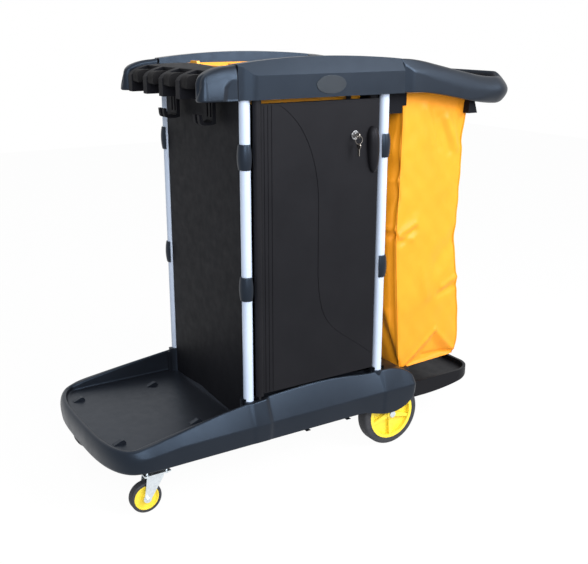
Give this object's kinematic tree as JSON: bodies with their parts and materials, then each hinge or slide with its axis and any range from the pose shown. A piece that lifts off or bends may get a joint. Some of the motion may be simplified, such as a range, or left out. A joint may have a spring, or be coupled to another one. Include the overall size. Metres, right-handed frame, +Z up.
{
  "type": "janitor cart",
  "caption": "Janitor cart with an open front deck, lockable cabinet, broom rack, tool tray, push handle and hung waste bag on wheels and casters.",
  "frame": {"origin": "on the floor under the middle of the cart", "axes": "+X towards the push handle, -Y the door side, +Z up"},
  "size_m": [1.186, 0.496, 1.031],
  "materials": {
    "black_plastic": "satin moulded",
    "white_tube": "gloss white",
    "grip_rubber": "matte",
    "yellow_tray": "satin",
    "grey_plate": "satin",
    "bag_cloth": "coated cloth",
    "zinc_steel": "zinc plated",
    "yellow_hub": "gloss",
    "tyre_rubber": "matte",
    "lock_chrome": "polished"
  },
  "bodies": {
    "chassis": {"base_platform": "black_plastic", "rear_bag_tray": "black_plastic", "clips_front_near": "black_plastic", "clips_front_far": "black_plastic", "clips_rear_near": "black_plastic", "clips_rear_far": "black_plastic", "front_panel": "black_plastic", "rear_panel": "black_plastic", "far_panel": "black_plastic", "inner_shelf": "black_plastic", "near_rail": "black_plastic", "far_rail": "black_plastic", "broom_rack": "black_plastic", "rack_cap_near": "black_plastic", "rack_cap_far": "black_plastic", "push_handle": "black_plastic", "top_carrier": "black_plastic", "top_bin": "black_plastic", "tool_hook_near": "black_plastic", "tool_hook_far": "black_plastic", "bag_frame": "black_plastic", "bag_front_brackets": "black_plastic", "bag_rear_hooks": "black_plastic", "lock_strike": "black_plastic", "post_front_near": "white_tube", "post_front_far": "white_tube", "post_rear_near": "white_tube", "post_rear_far": "white_tube", "broom_grips": "grip_rubber", "blank_plate": "grey_plate", "waste_bag": "bag_cloth", "rear_axle": "zinc_steel", "axle_caps": "zinc_steel", "caster_plate_near": "zinc_steel", "caster_plate_far": "zinc_steel", "caster_bolts": "zinc_steel", "hinge_pins": "zinc_steel"},
    "tool_tray": {"tool_tray": "yellow_tray"},
    "wheel_near": {"rear_hub_near": "yellow_hub", "rear_tyre_near": "tyre_rubber"},
    "wheel_far": {"rear_hub_far": "yellow_hub", "rear_tyre_far": "tyre_rubber"},
    "swivel_near": {"caster_fork_near": "zinc_steel", "caster_pin_near": "zinc_steel"},
    "swivel_far": {"caster_fork_far": "zinc_steel", "caster_pin_far": "zinc_steel"},
    "caster_wheel_near": {"caster_hub_near": "yellow_hub", "caster_tyre_near": "tyre_rubber"},
    "caster_wheel_far": {"caster_hub_far": "yellow_hub", "caster_tyre_far": "tyre_rubber"},
    "door": {"door_panel": "black_plastic", "door_pull": "black_plastic", "lock_body": "lock_chrome"},
    "lock": {"lock_plug": "lock_chrome", "lock_cam": "zinc_steel", "door_key": "zinc_steel"},
    "keys": {"key_ring": "lock_chrome", "spare_key": "zinc_steel"}
  },
  "joints": [
    {"name": "door_hinge", "type": "hinge", "parent": "chassis", "child": "door", "pos_m": [-0.2, -0.216, 0.584], "axis": [0, 0, -1], "range_deg": [0, 115]},
    {"name": "lock_turn", "type": "hinge", "parent": "door", "child": "lock", "pos_m": [0.0655, -0.2, 0.846], "axis": [0, 1, 0], "range_deg": [0, 90]},
    {"name": "key_swing", "type": "hinge", "parent": "lock", "child": "keys", "pos_m": [0.0655, -0.2403, 0.846], "axis": [-1, 0, 0], "range_deg": [-5, 60]},
    {"name": "tray_lift", "type": "slide", "parent": "chassis", "child": "tool_tray", "axis": [0, 0, 1], "range_m": [0, 0.16]},
    {"name": "wheel_near_spin", "type": "hinge", "parent": "chassis", "child": "wheel_near", "pos_m": [0.203, -0.2105, 0.0875], "axis": [0, 1, 0], "continuous": true},
    {"name": "caster_near_swivel", "type": "hinge", "parent": "chassis", "child": "swivel_near", "pos_m": [-0.479, -0.196, 0.095], "axis": [0, 0, 1], "continuous": true},
    {"name": "caster_near_spin", "type": "hinge", "parent": "swivel_near", "child": "caster_wheel_near", "pos_m": [-0.501, -0.196, 0.038], "axis": [0, 1, 0], "continuous": true},
    {"name": "wheel_far_spin", "type": "hinge", "parent": "chassis", "child": "wheel_far", "pos_m": [0.203, 0.2105, 0.0875], "axis": [0, 1, 0], "continuous": true},
    {"name": "caster_far_swivel", "type": "hinge", "parent": "chassis", "child": "swivel_far", "pos_m": [-0.479, 0.196, 0.095], "axis": [0, 0, 1], "continuous": true},
    {"name": "caster_far_spin", "type": "hinge", "parent": "swivel_far", "child": "caster_wheel_far", "pos_m": [-0.501, 0.196, 0.038], "axis": [0, 1, 0], "continuous": true}
  ]
}
